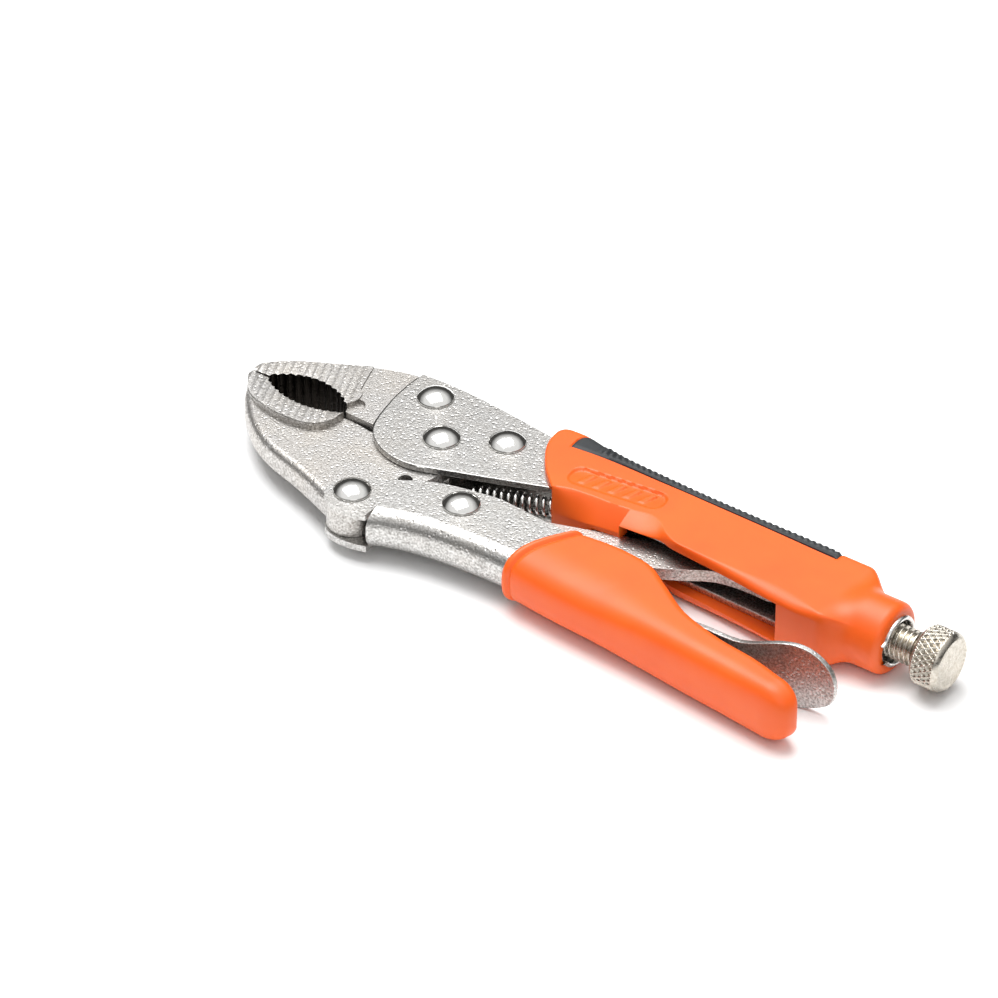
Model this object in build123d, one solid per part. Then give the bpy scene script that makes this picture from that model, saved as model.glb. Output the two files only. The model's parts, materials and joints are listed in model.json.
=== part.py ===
from build123d import *
import os
from math import atan2, cos, degrees, hypot, radians, sin

os.makedirs("parts", exist_ok=True)

# Working frame: jaw pivot at the origin, X towards the adjusting knob, Y towards the
# back of the fixed handle, Z across the pliers, mid plane at zero. Millimetres.

# ---- main sizes ----
PLATE_IN = 3.4           # inner face of the two handle channels
PLATE_OUT = 5.0          # outer face of the two handle channels
JAW_HALF = 3.3           # half thickness of the forged jaws between the plates
BAND_HALF = 5.2          # half thickness of the wide toothed lips
FRONT_HALF = 4.8         # half thickness of the fixed jaw in front of the plates
SLEEVE_HALF = 7.0        # half thickness of both soft sleeves
SLEEVE_ROUND = 2.2       # edge rounding of the sleeves
SPINE_ROUND = 4.0        # outside radius of the moving handle's folded spine
SHEET = 1.6              # wall of the folded channels
SHANK_R = 2.5            # rivet shank
FIT = 0.05               # radial running clearance on a pivot

# ---- pivots ----
JAW_PIVOT = (0.0, 0.0)
RIVET_A = (-10.3, 11.5)
RIVET_C = (12.6, 7.2)
HANDLE_PIVOT = (-3.9, -27.0)
LINK_PIVOT = (18.1, -17.0)
LEVER_PIVOT = (62.0, -17.2)
SPRING_EYE = (1.4, -15.0)
SPRING_PIN = (44.0, 4.0)

# ---- adjusting screw ----
SCREW_Y = 4.2            # height of the screw axis over the jaw pivot
ROD_R = 3.95
ROD_ROOM = 0.3           # room between the rod and the neck of the channel
TUBE_R = 5.8
TUBE_BORE = 4.8
TUBE_START = 99.0
TUBE_END = 116.0
NOSE_X = 91.4
KNOB_X = 123.4
KNOB_END = 130.3
KNOB_R = 6.7
SPIGOT_R = 2.4

# ---- moving handle ----
LUG_END = 3.8            # where the open lugs end and the folded spine starts

# ---- rivet heads ----
HEAD_R = 4.2
HEAD_RIM = 0.6
HEAD_DOME = 1.5

# ---- jaw lips ----
POCKET = (-23.3, -1.2)   # small hollow beside the rear end of the upper lip
POCKET_R = 2.5
POCKET_DEPTH = 1.1
TEETH = 13
TOOTH_R = 1.0
TOOTH_DEPTH = 0.45
FLUTE_PITCH = 1.9
FLUTE_DEPTH = 0.13
FLUTE_LEAN = 23.0        # the flutes lean this many degrees from the Y axis towards the tip
JAW_BACK_ROUND = 1.9     # outer edge of the lower jaw

# ---- link ----
LINK_HALF = 1.5


def face(*runs):
    """Closed flat face: a run of two points is a line, of three an arc, of more a smooth curve."""
    edges = []
    for run in runs:
        if len(run) == 2:
            edges.append(Line(*run))
        elif len(run) == 3:
            edges.append(ThreePointArc(*run))
        else:
            edges.append(Spline(*run))
    return make_face(edges)


def slab(flat, half):
    """Flat face thickened evenly to both sides of the mid plane."""
    return extrude(flat, amount=half, both=True)


def brick(x0, x1, y0, y1, z0, z1):
    """Box between two corners."""
    return Pos((x0 + x1) / 2, (y0 + y1) / 2, (z0 + z1) / 2) * Box(x1 - x0, y1 - y0, z1 - z0)


def post(at, radius, half):
    """Round bar along Z through a point."""
    return Pos(at[0], at[1], 0) * Cylinder(radius, 2 * half)


def along_x(x0, x1, radius, y=SCREW_Y):
    """Round bar along X on the screw axis."""
    return Pos((x0 + x1) / 2, y, 0) * Rot(0, 90, 0) * Cylinder(radius, x1 - x0)


# ---- shared outlines ----

def frame_face():
    """Side view of the fixed handle channel, from the jaw plates to the rolled end."""
    return face(
        [(-18.2, 17.2), (-4.0, 17.4), (19.0, 14.9), (40.0, 13.4)],
        [(40.0, 13.4), (96.0, 13.4)],
        [(96.0, 13.4), (105.0, SCREW_Y + PLATE_OUT)],
        [(105.0, SCREW_Y + PLATE_OUT), (105.0, SCREW_Y - PLATE_OUT)],
        [(105.0, SCREW_Y - PLATE_OUT), (92.0, -2.0)],
        [(92.0, -2.0), (31.0, -0.2)],
        [(31.0, -0.2), (4.0, -10.5)],
        [(4.0, -10.5), (-3.0, -11.9), (-9.3, -10.3), (-14.0, -6.6), (-16.6, 0.0), (-18.0, 8.0), (-18.2, 17.2)],
    )


def handle_face():
    """Side view of the moving handle channel, from the pivot lugs to its tail."""
    return face(
        [(-9.2, -28.0), (-8.0, -24.2), (-4.6, -22.0), (1.5, -18.1), (8.2, -14.1), (16.4, -11.6), (24.0, -10.3)],
        [(24.0, -10.3), (46.0, -11.8)],
        [(46.0, -11.8), (60.0, -12.0), (72.0, -18.0), (90.0, -24.6), (107.0, -29.6)],
        [(107.0, -29.6), (109.0, -31.0), (106.0, -32.0)],
        [(106.0, -32.0), (91.0, -30.9), (74.0, -29.6), (53.0, -28.1), (37.0, -27.2), (22.0, -27.8),
         (12.0, -29.4), (3.8, -32.4)],
        [(3.8, -32.4), (-2.0, -33.6), (-7.4, -32.2), (-9.2, -28.0)],
    )


def cover_face():
    """Side view of the fixed handle's sleeve, nose to the start of the rear neck."""
    return face(
        [(36.0, -3.9), (32.0, -3.0), (28.2, 1.2), (23.4, 7.4), (20.8, 14.0), (22.8, 17.9), (28.0, 17.9),
         (38.0, 16.5), (52.0, 15.7), (102.0, 15.7)],
        [(102.0, 15.7), (102.0, -5.6)],
        [(102.0, -5.6), (36.0, -3.9)],
    )


def grip_face():
    """Side view of the moving handle's sleeve."""
    return face(
        [(46.0, -9.6), (42.5, -15.6), (39.8, -22.6), (38.2, -28.4)],
        [(38.2, -28.4), (53.0, -30.0), (74.6, -31.2), (91.0, -32.7), (107.0, -34.3)],
        [(107.0, -34.3), (113.8, -31.4), (111.4, -28.4)],
        [(111.4, -28.4), (101.0, -24.3), (89.5, -22.0), (80.0, -19.3), (72.0, -15.4), (65.5, -11.0), (59.0, -9.2), (46.0, -9.6)],
    )


# ---- fixed handle ----

def fixed_handle():
    """Channel folded from one sheet, open towards the other handle, ending in a rolled tube."""
    body = slab(frame_face(), PLATE_OUT)
    cavity = face(
        [(-30.0, -30.0), (110.0, -30.0)],
        [(110.0, -30.0), (110.0, SCREW_Y)],
        [(110.0, SCREW_Y), (96.0, 13.4 - SHEET)],
        [(96.0, 13.4 - SHEET), (40.0, 13.4 - SHEET)],
        [(40.0, 13.4 - SHEET), (21.0, 14.6 - SHEET)],
        [(21.0, 14.6 - SHEET), (21.0, 30.0)],
        [(21.0, 30.0), (-30.0, 30.0)],
        [(-30.0, 30.0), (-30.0, -30.0)],
    )
    body -= slab(cavity, PLATE_IN)
    body += along_x(TUBE_START, TUBE_END, TUBE_R)
    body -= along_x(TUBE_START - 1.0, TUBE_END + 1.0, TUBE_BORE)
    body -= along_x(NOSE_X - 1.0, TUBE_START, ROD_R + ROD_ROOM)
    for at in (RIVET_A, RIVET_C, JAW_PIVOT):
        body -= post(at, SHANK_R, PLATE_OUT + 1.0)
    body -= post(SPRING_PIN, 1.2, PLATE_OUT + 1.0)
    return body


def thread_bush():
    """Threaded bush pressed into the rolled tube; the rod runs in it."""
    return along_x(TUBE_START + 1.0, TUBE_END - 3.0, TUBE_BORE) - along_x(TUBE_START, TUBE_END, ROD_R + FIT)


def sleeve_edges(body, half):
    """Long outer edges of a sleeve, ready to be rounded."""
    return body.edges().filter_by(lambda e: abs(abs(e.center().Z) - half) < 0.01)


def cover_body():
    """Outer form of the fixed sleeve: rounded slab, neck and round collar."""
    body = slab(cover_face(), SLEEVE_HALF)
    long_edges = sleeve_edges(body, SLEEVE_HALF).filter_by(lambda e: e.center().X < 101.0)
    body = fillet(long_edges, SLEEVE_ROUND)
    width = 15.7 + 5.6
    middle = (15.7 - 5.6) / 2
    start = Plane(origin=(101.0, middle, 0), x_dir=(0, 1, 0), z_dir=(1, 0, 0))
    end = Plane(origin=(108.5, SCREW_Y, 0), x_dir=(0, 1, 0), z_dir=(1, 0, 0))
    root = start * RectangleRounded(width - 0.6, 2 * SLEEVE_HALF - 0.6, SLEEVE_ROUND)
    collar_circle = end * Circle(8.15)
    neck = loft([root, collar_circle])
    collar = along_x(108.5, 116.6, 8.15)
    collar = fillet(collar.edges().sort_by(Axis.X)[-1], 2.0)
    return body + neck + collar


def insert_block():
    """Space of the soft strip let into the back of the sleeve."""
    flat = face(
        [(27.4, 12.3), (36.0, 13.3), (60.0, 13.3)],
        [(60.0, 13.3), (90.0, 13.1)],
        [(90.0, 13.1), (97.0, 15.2)],
        [(97.0, 15.2), (97.0, 20.0)],
        [(97.0, 20.0), (25.6, 20.0)],
        [(25.6, 20.0), (25.9, 16.0), (27.4, 12.3)],
    )
    return slab(flat, SLEEVE_HALF + 1.0)


def label_recess():
    """Shallow slanting window in the upper face with plain cross bars left standing."""
    window = Pos(43.0, 6.0, SLEEVE_HALF) * Rot(4.5, 0, 7) * extrude(SlotOverall(24.0, 7.0), amount=2.0, both=True)
    window = window & brick(20.0, 70.0, 2.0, 20.0, SLEEVE_HALF - 0.45, SLEEVE_HALF + 1.0)
    for number in range(5):
        window -= Pos(35.8 + 3.6 * number, 5.3 + 0.44 * number, SLEEVE_HALF) * Rot(0, 0, -20) * Box(1.3, 4.6, 1.2)
    return window


def cover(body, soft_strip, channel):
    """Hard sleeve of the fixed handle: slot for link and lever, cross strap near the nose."""
    shell = body - soft_strip
    shell -= slab(channel, PLATE_OUT)
    shell -= along_x(98.0, 120.0, TUBE_R)
    shell -= brick(10.0, 92.5, -2.7, 0.4, -PLATE_OUT, PLATE_OUT)
    shell -= brick(50.0, 92.5, -9.0, 0.0, -PLATE_OUT, PLATE_OUT)
    shell -= brick(43.0, 51.0, -9.0, 0.0, -2.5, 2.5)
    shell -= label_recess()
    return shell


def back_strip(body, channel):
    """Soft strip on the back of the fixed sleeve."""
    return (body & insert_block()) - slab(channel, PLATE_OUT)


# ---- jaws ----

def teeth(start, middle, end):
    """Round notches evenly spread along a three-point arc, cut across the whole lip."""
    curve = ThreePointArc(start, middle, end)
    chord_middle = (Vector(*start) + Vector(*end)) / 2
    cuts = None
    for number in range(TEETH):
        along = (number + 0.5) / TEETH
        spot = curve.position_at(along)
        heading = curve.tangent_at(along)
        normal = Vector(-heading.Y, heading.X, 0)
        if normal.dot(chord_middle - spot) < 0:
            normal = normal * -1
        centre = spot + normal * (TOOTH_R - TOOTH_DEPTH)
        cut = Pos(centre.X, centre.Y, 0) * Cylinder(TOOTH_R, 3 * BAND_HALF)
        cuts = cut if cuts is None else cuts + cut
    return cuts


def flutes(start, number):
    """Row of shallow round grooves across both faces of a lip, leaning towards the tip."""
    radius = ((FLUTE_PITCH / 2) ** 2 + FLUTE_DEPTH ** 2) / (2 * FLUTE_DEPTH)
    cuts = None
    for count in range(number):
        for side in (-1, 1):
            height = side * (BAND_HALF + radius - FLUTE_DEPTH)
            spot = Pos(start + FLUTE_PITCH * count, -4.0, height)
            cut = spot * Rot(0, 0, FLUTE_LEAN) * Rot(90, 0, 0) * Cylinder(radius, 60.0)
            cuts = cut if cuts is None else cuts + cut
    return cuts


def fixed_jaw():
    """Forged upper jaw: wide toothed nose and a thinner shank riveted between the plates."""
    mouth_rear = (-23.1, -4.4)
    mouth_mid = (-34.0, 1.2)
    mouth_front = (-45.2, -3.7)
    outline = face(
        [(-49.4, -4.1), mouth_front],
        [mouth_front, mouth_mid, mouth_rear],
        [mouth_rear, (-15.0, -4.5)],
        [(-15.0, -4.5), (-8.9, -1.6)],
        [(-8.9, -1.6), (-3.0, 8.5), (8.3, 3.6)],
        [(8.3, 3.6), (17.0, 4.4)],
        [(17.0, 4.4), (18.0, 12.4)],
        [(18.0, 12.4), (0.0, 15.6), (-10.0, 16.4), (-18.0, 16.2), (-28.0, 13.1), (-36.0, 8.8), (-44.9, 3.6), (-48.6, 0.2)],
        [(-48.6, 0.2), (-49.8, -1.8), (-49.4, -4.1)],
    )
    jaw = slab(outline, FRONT_HALF)
    for side in (-1, 1):
        jaw -= Pos(POCKET[0], POCKET[1], side * (FRONT_HALF - POCKET_DEPTH + BAND_HALF)) * Cylinder(POCKET_R, 2 * BAND_HALF)
    nose = face(
        [(-55.0, -10.0), (-24.7, -10.0)],
        [(-24.7, -10.0), (-24.7, -1.5)],
        [(-24.7, -1.5), (-23.7, 0.7), (-25.6, 4.2)],
        [(-25.6, 4.2), (-31.0, 20.0)],
        [(-31.0, 20.0), (-55.0, 20.0)],
        [(-55.0, 20.0), (-55.0, -10.0)],
    )
    band = slab(outline, BAND_HALF) & slab(nose, BAND_HALF)
    jaw += band - flutes(-64.0, 22)
    shank = face(
        [(-12.0, -9.0), (-14.3, -6.7), (-16.8, 0.0), (-18.2, 8.0), (-18.4, 18.0)],
        [(-18.4, 18.0), (30.0, 18.0)],
        [(30.0, 18.0), (30.0, -9.0)],
        [(30.0, -9.0), (-12.0, -9.0)],
    )
    for side in (-1, 1):
        jaw -= Pos(0, 0, side * (JAW_HALF + BAND_HALF)) * slab(shank, BAND_HALF)
    jaw -= teeth(mouth_front, mouth_mid, mouth_rear)
    for number in range(2):
        jaw -= Pos(-48.6 + 1.0 * number, -4.05, 0) * Rot(0, 0, 45) * Box(0.4, 0.4, 3 * BAND_HALF)
    jaw -= post(RIVET_A, SHANK_R, 2 * BAND_HALF)
    jaw -= post(RIVET_C, SHANK_R, 2 * BAND_HALF)
    return jaw


def lower_jaw():
    """Forged moving jaw: toothed lip wider than the body, boss at its pivot, tail to the handle."""
    mouth_rear = (-23.4, -4.9)
    mouth_mid = (-34.0, -8.0)
    mouth_front = (-44.6, -4.6)
    body_face = face(
        [(-49.4, -4.3), mouth_front],
        [mouth_front, mouth_mid, mouth_rear],
        [mouth_rear, (-19.5, -4.9), (-15.0, -5.4), (-9.0, -4.2), (-6.6, -3.8)],
        [(-6.6, -3.8), (0.0, 7.6), (6.9, -3.2)],
        [(6.9, -3.2), (6.3, -9.6), (5.0, -14.5), (2.6, -20.0), (1.9, -27.0)],
        [(1.9, -27.0), (-3.9, -32.8), (-8.6, -30.4)],
        [(-8.6, -30.4), (-14.0, -28.3), (-22.3, -25.4), (-29.5, -23.3), (-37.2, -19.6), (-43.8, -14.2), (-48.6, -8.0), (-49.6, -5.6)],
        [(-49.6, -5.6), (-49.4, -4.3)],
    )
    lip_face = face(
        [(-49.4, -4.3), mouth_front],
        [mouth_front, mouth_mid, mouth_rear],
        [mouth_rear, (-23.5, -7.0)],
        [(-23.5, -7.0), (-24.3, -10.0), (-27.0, -12.6), (-31.3, -13.6), (-37.4, -13.4), (-43.0, -11.7), (-47.4, -8.6), (-49.6, -5.6)],
        [(-49.6, -5.6), (-49.4, -4.3)],
    )
    jaw = slab(body_face, JAW_HALF)
    back_edge = jaw.edges().filter_by(lambda e: abs(abs(e.center().Z) - JAW_HALF) < 0.01)
    back_edge = back_edge.filter_by(lambda e: e.center().Y < -15.0 and e.center().X < -20.0)
    jaw = fillet(back_edge, JAW_BACK_ROUND)
    jaw += slab(lip_face, BAND_HALF)
    jaw -= flutes(-56.0, 22)
    jaw -= teeth(mouth_front, mouth_mid, mouth_rear)
    for number in range(4):
        jaw -= Pos(-48.1 + 1.0 * number, -4.35, 0) * Rot(0, 0, 45) * Box(0.4, 0.4, 3 * BAND_HALF)
    jaw -= post(JAW_PIVOT, SHANK_R + FIT, 2 * BAND_HALF)
    jaw -= post(HANDLE_PIVOT, SHANK_R + FIT, 2 * BAND_HALF)
    jaw -= post(SPRING_EYE, 1.6, 2 * BAND_HALF)
    jaw -= Pos(4.4, -11.4, 0) * Rot(0, 0, 55) * Box(11.0, 2.0, 1.6)
    return jaw


# ---- moving handle ----

def moving_handle():
    """Channel folded from one sheet, open towards the fixed handle, two lugs at the jaw."""
    whole = slab(handle_face(), PLATE_OUT)
    lugs = whole & brick(-20.0, LUG_END, -40.0, 0.0, -PLATE_OUT, PLATE_OUT)
    folded = whole & brick(LUG_END, 105.0, -40.0, 0.0, -PLATE_OUT, PLATE_OUT)
    spine = folded.edges().filter_by(lambda e: abs(abs(e.center().Z) - PLATE_OUT) < 0.01)
    spine = spine.filter_by(lambda e: e.center().Y < -26.0 and 20.0 < e.center().X < 100.0)
    body = lugs + fillet(spine, SPINE_ROUND)
    cavity = face(
        [(-20.0, -40.0), (LUG_END, -40.0)],
        [(LUG_END, -40.0), (LUG_END, -30.9)],
        [(LUG_END, -30.9), (12.0, -27.6), (22.0, -25.8), (37.0, -25.1)],
        [(37.0, -25.1), (53.0, -26.4), (74.6, -27.8), (91.0, -29.2), (106.0, -30.4)],
        [(106.0, -30.4), (112.0, -29.0)],
        [(112.0, -29.0), (112.0, 5.0)],
        [(112.0, 5.0), (-20.0, 5.0)],
        [(-20.0, 5.0), (-20.0, -40.0)],
    )
    body -= slab(cavity, PLATE_IN)
    body -= post(HANDLE_PIVOT, SHANK_R, 2 * PLATE_OUT)
    body -= post(LINK_PIVOT, SHANK_R, 2 * PLATE_OUT)
    body -= post(LEVER_PIVOT, 1.5, 2 * PLATE_OUT)
    return body


def grip(channel):
    """Moulded sleeve of the moving handle with a raised lip round its front edge."""
    body = slab(grip_face(), SLEEVE_HALF)
    body = fillet(sleeve_edges(body, SLEEVE_HALF), 2.6)
    body -= slab(channel, PLATE_OUT)
    slot = face(
        [(30.0, -20.0), (60.0, -20.0)],
        [(60.0, -20.0), (107.0, -31.0)],
        [(107.0, -31.0), (107.0, 0.0)],
        [(107.0, 0.0), (30.0, 0.0)],
        [(30.0, 0.0), (30.0, -20.0)],
    )
    body -= slab(slot, PLATE_OUT)
    return body


def toggle_link():
    """Stamped strut from the moving handle to the nose of the adjusting screw, narrower towards its tip."""
    outline = face(
        [(18.1, -22.0), (30.0, -18.6), (48.0, -13.0), (62.7, -6.6), (68.0, -3.4), (72.6, -0.6), (78.0, 0.7), (85.3, 0.8)],
        [(85.3, 0.8), (88.7, 4.2), (85.3, 7.6)],
        [(85.3, 7.6), (77.0, 6.2), (66.0, 3.4), (48.0, -2.4), (30.0, -8.6), (18.1, -12.0)],
        [(18.1, -12.0), (13.1, -17.0), (18.1, -22.0)],
    )
    link = slab(outline, LINK_HALF) + post(LINK_PIVOT, 4.8, JAW_HALF)
    return link - post(LINK_PIVOT, SHANK_R + FIT, 2 * PLATE_OUT)


def release_lever():
    """Bent sheet blade on its own pin, widening to a rounded thumb paddle."""
    sheet = 1.3
    path = [(62.0, -19.2), (74.0, -20.6), (84.4, -20.6), (92.0, -21.0), (99.0, -20.4), (106.0, -18.7), (116.4, -18.4)]
    lower = Spline(*path)
    strip = [(x, y + sheet) for x, y in reversed(path)]
    profile = make_face([lower, Line(path[-1], strip[0]), Spline(*strip), Line(strip[-1], path[0])])
    blade = slab(profile, 9.0)
    half = [(60.0, 3.2), (78.0, 3.2), (86.0, 4.0), (94.0, 4.8), (100.0, 6.9), (105.5, 8.0)]
    upper = Spline(*half)
    tail = [(105.5, 8.0), (111.8, 6.2), (115.7, 0.0)]
    lower_side = [(x, -z) for x, z in reversed(half)]
    end = Spline(*tail, tangents=[(1, 0), (0, -1)])
    mirror_end = Spline(*[(x, -z) for x, z in reversed(tail)], tangents=[(0, -1), (-1, 0)])
    plan = make_face([upper, end, mirror_end, Spline(*lower_side), Line((60.0, -3.2), (60.0, 3.2))])
    blade &= extrude(Plane.XZ * plan, amount=60.0, both=True)
    eye = post(LEVER_PIVOT, 2.8, 3.2)
    toe = face(
        [(50.5, -12.6), (52.5, -11.6), (64.2, -15.8)],
        [(64.2, -15.8), (61.0, -19.4)],
        [(61.0, -19.4), (55.0, -16.0), (50.5, -12.6)],
    )
    lever = blade + eye + slab(toe, 2.4)
    return lever - post(LEVER_PIVOT, 1.5 + FIT, 2 * PLATE_OUT)


# ---- pins, rivets, screw, spring ----

def rivet(at):
    """Round rivet with a low domed head on both outer plates."""
    dome_r = (HEAD_R ** 2 + HEAD_DOME ** 2) / (2 * HEAD_DOME)
    body = post(at, SHANK_R, PLATE_OUT)
    for side in (-1, 1):
        top = PLATE_OUT + HEAD_RIM
        rim = Pos(at[0], at[1], side * (PLATE_OUT + HEAD_RIM / 2)) * Cylinder(HEAD_R, HEAD_RIM)
        ball = Pos(at[0], at[1], side * (top + HEAD_DOME - dome_r)) * Sphere(dome_r)
        cap = ball & (Pos(at[0], at[1], side * (top + HEAD_DOME / 2)) * Cylinder(HEAD_R, HEAD_DOME))
        body += rim + cap
    return body


def adjusting_rod():
    """Threaded rod, drawn at its outside diameter, with a rounded nose and a spigot for the knob."""
    rod = along_x(NOSE_X, KNOB_X, ROD_R)
    rod = fillet(rod.edges().sort_by(Axis.X)[0], 2.4)
    return rod + along_x(KNOB_X, KNOB_END - 1.5, SPIGOT_R)


def adjusting_knob():
    """Round knob with chamfered rims on the spigot of the rod."""
    knob = along_x(KNOB_X, KNOB_END, KNOB_R)
    ends = knob.edges().filter_by(GeomType.CIRCLE)
    knob = chamfer(ends, 0.6)
    return knob - along_x(KNOB_X - 1.0, KNOB_END - 1.4, SPIGOT_R + FIT)


def tension_spring():
    """Close-wound return spring from the jaw's tail to a pin inside the fixed channel."""
    wire = 0.4
    mean_r = 1.8
    pitch = 1.5
    start = (13.4, -6.7)
    end = (40.4, 2.75)
    run = (end[0] - start[0], end[1] - start[1])
    length = hypot(*run)
    turns = round(length / pitch)
    place = Plane(origin=(start[0], start[1], 0), x_dir=(0, 0, 1), z_dir=(run[0], run[1], 0))
    coil_path = place * Helix(pitch=length / turns, height=length, radius=mean_r)
    coil_section = Plane(origin=coil_path @ 0, z_dir=coil_path % 0) * Circle(wire)
    coil = sweep(coil_section, path=coil_path, is_frenet=True)
    front = Polyline((start[0], start[1], 0), (5.4, -9.3, 0), (SPRING_EYE[0] + 0.2, SPRING_EYE[1] + 0.6, 0))
    front_arm = sweep(Plane(origin=front @ 0, z_dir=front % 0) * Circle(wire), path=front, transition=Transition.ROUND)
    bridge = Pos(start[0], start[1], 0) * Cylinder(wire, 0.1)
    radius = Line((start[0], start[1], 0), tuple(coil_path @ 0))
    front_link = sweep(Plane(origin=radius @ 0, z_dir=radius % 0) * Circle(wire), path=radius)
    cross = Pos(SPRING_EYE[0] + 0.2, SPRING_EYE[1] + 0.6, 0) * Cylinder(wire, 4.0)
    rear = Line((end[0], end[1], 0), tuple(coil_path @ 1))
    rear_link = sweep(Plane(origin=rear @ 0, z_dir=rear % 0) * Circle(wire), path=rear)
    eye_r = 1.7
    heading = degrees(atan2(run[1], run[0]))
    eye = Pos(SPRING_PIN[0], SPRING_PIN[1], 0) * Torus(eye_r, wire)
    stem_end = (SPRING_PIN[0] - eye_r * cos(radians(heading)), SPRING_PIN[1] - eye_r * sin(radians(heading)))
    stem = Line((end[0], end[1], 0), (stem_end[0], stem_end[1], 0))
    rear_arm = sweep(Plane(origin=stem @ 0, z_dir=stem % 0) * Circle(wire), path=stem)
    return coil + front_arm + bridge + front_link + cross + rear_link + rear_arm + eye


def model():
    """Every sub-part in the working frame, by name."""
    channel = frame_face()
    handle = handle_face()
    sleeve = cover_body()
    strip = back_strip(sleeve, channel)
    return {
        "fixed_handle": fixed_handle(),
        "thread_bush": thread_bush(),
        "cover": cover(sleeve, insert_block(), channel),
        "back_strip": strip,
        "fixed_jaw": fixed_jaw(),
        "jaw_rivet_front": rivet(RIVET_A),
        "jaw_rivet_rear": rivet(RIVET_C),
        "jaw_pivot_rivet": rivet(JAW_PIVOT),
        "spring_pin": post(SPRING_PIN, 1.2, PLATE_OUT),
        "lower_jaw": lower_jaw(),
        "moving_handle": moving_handle(),
        "grip": grip(handle),
        "handle_pivot_rivet": rivet(HANDLE_PIVOT),
        "link_pivot_rivet": rivet(LINK_PIVOT),
        "lever_pin": post(LEVER_PIVOT, 1.5, PLATE_OUT),
        "toggle_link": toggle_link(),
        "release_lever": release_lever(),
        "adjusting_rod": adjusting_rod(),
        "adjusting_knob": adjusting_knob(),
        "tension_spring": tension_spring(),
    }


parts = model()
boxes = [shape.bounding_box() for shape in parts.values()]
left = min(box.min.X for box in boxes)
right = max(box.max.X for box in boxes)
front = min(box.min.Y for box in boxes)
back = max(box.max.Y for box in boxes)
floor = min(box.min.Z for box in boxes)
to_base = Pos(-(left + right) / 2, -(front + back) / 2, -floor)
print("shift to the base centre:", -(left + right) / 2, -(front + back) / 2, -floor)
for name, shape in parts.items():
    export_step(to_base * shape, f"parts/{name}.step")
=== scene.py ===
import json
from math import pi, radians

import bmesh
import bpy
import numpy as np
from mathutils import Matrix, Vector


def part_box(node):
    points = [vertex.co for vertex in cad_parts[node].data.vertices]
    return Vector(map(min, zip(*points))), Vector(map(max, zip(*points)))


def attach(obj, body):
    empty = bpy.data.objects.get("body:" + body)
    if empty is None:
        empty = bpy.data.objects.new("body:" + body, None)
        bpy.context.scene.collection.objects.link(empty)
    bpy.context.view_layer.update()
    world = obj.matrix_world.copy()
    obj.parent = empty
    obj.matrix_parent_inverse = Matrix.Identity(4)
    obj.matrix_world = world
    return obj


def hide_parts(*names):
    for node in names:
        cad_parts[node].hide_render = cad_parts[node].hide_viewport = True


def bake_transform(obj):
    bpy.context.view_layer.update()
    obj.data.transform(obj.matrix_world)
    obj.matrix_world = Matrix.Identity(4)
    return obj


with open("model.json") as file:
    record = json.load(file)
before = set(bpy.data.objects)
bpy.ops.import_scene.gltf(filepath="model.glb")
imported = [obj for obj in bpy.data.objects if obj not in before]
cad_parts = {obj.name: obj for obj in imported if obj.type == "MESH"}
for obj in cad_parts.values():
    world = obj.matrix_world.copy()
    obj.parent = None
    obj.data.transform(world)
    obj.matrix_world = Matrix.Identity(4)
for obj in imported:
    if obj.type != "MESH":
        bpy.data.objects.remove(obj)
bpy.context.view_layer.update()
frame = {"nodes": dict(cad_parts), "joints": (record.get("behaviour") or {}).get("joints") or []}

# Lengths below are in millimetres from the jaw pivot: X along the screw, Y to the back
# of the tool, Z along the rivets.
PIVOT = np.array(next(j["pos_m"] for j in frame["joints"] if j["name"] == "jaw_hinge"))
SCREW_Y = 4.2
SLEEVE_HALF = 7.0
PLATE_OUT = 5.0
CHANNEL_TOP = 13.42
COLLAR_R = 8.15
COLLAR_START = 103.5
COLLAR_FULL = 109.8
COLLAR_END = 116.6
KNOB_START = 123.4
KNOB_END = 130.3
KNOB_R = 6.7


# ---- curves and grids ----

def through(keys, values, at):
    """Smooth curve through the values at the keys: cubic spans with slopes from their neighbours."""
    keys = np.asarray(keys, float)
    values = np.asarray(values, float)
    slopes = np.gradient(values, keys, axis=0)
    at = np.clip(np.asarray(at, float), keys[0], keys[-1])
    left = np.clip(np.searchsorted(keys, at, side="right") - 1, 0, len(keys) - 2)
    step = keys[left + 1] - keys[left]
    s = (at - keys[left]) / step
    if values.ndim > 1:
        s = s[:, None]
        step = step[:, None]
    return ((1 + 2 * s) * (1 - s) ** 2 * values[left] + s * (1 - s) ** 2 * step * slopes[left]
            + s ** 2 * (3 - 2 * s) * values[left + 1] + s ** 2 * (s - 1) * step * slopes[left + 1])


def eased(low, high, value):
    """0 below low, 1 above high, and a soft S between them."""
    s = np.clip((value - low) / (high - low), 0.0, 1.0)
    return s * s * (3 - 2 * s)


def rolled(distance, radius):
    """Depth that an edge of this radius falls away by, at a distance from the edge."""
    inside = np.clip(radius - distance, 0.0, radius)
    return radius - np.sqrt(radius ** 2 - inside ** 2)


def outward(grid):
    """Unit normals of a grid whose columns close on themselves: the cross product of its two slopes."""
    closed = np.concatenate([grid[:, -2:-1], grid, grid[:, 1:2]], axis=1)
    across = (closed[:, 2:] - closed[:, :-2])
    along = np.gradient(grid, axis=0)
    normal = np.cross(along, across)
    return normal / np.maximum(np.linalg.norm(normal, axis=2, keepdims=True), 1e-9)


def quads(rows, columns):
    """Faces of a grid of points, row by row."""
    index = np.arange(rows * columns).reshape(rows, columns)
    return np.stack([index[:-1, :-1], index[:-1, 1:], index[1:, 1:], index[1:, :-1]], axis=-1)


def sheet(grid):
    """Points and faces of one open grid."""
    return grid.reshape(-1, 3), quads(*grid.shape[:2]).reshape(-1, 4)


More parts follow.
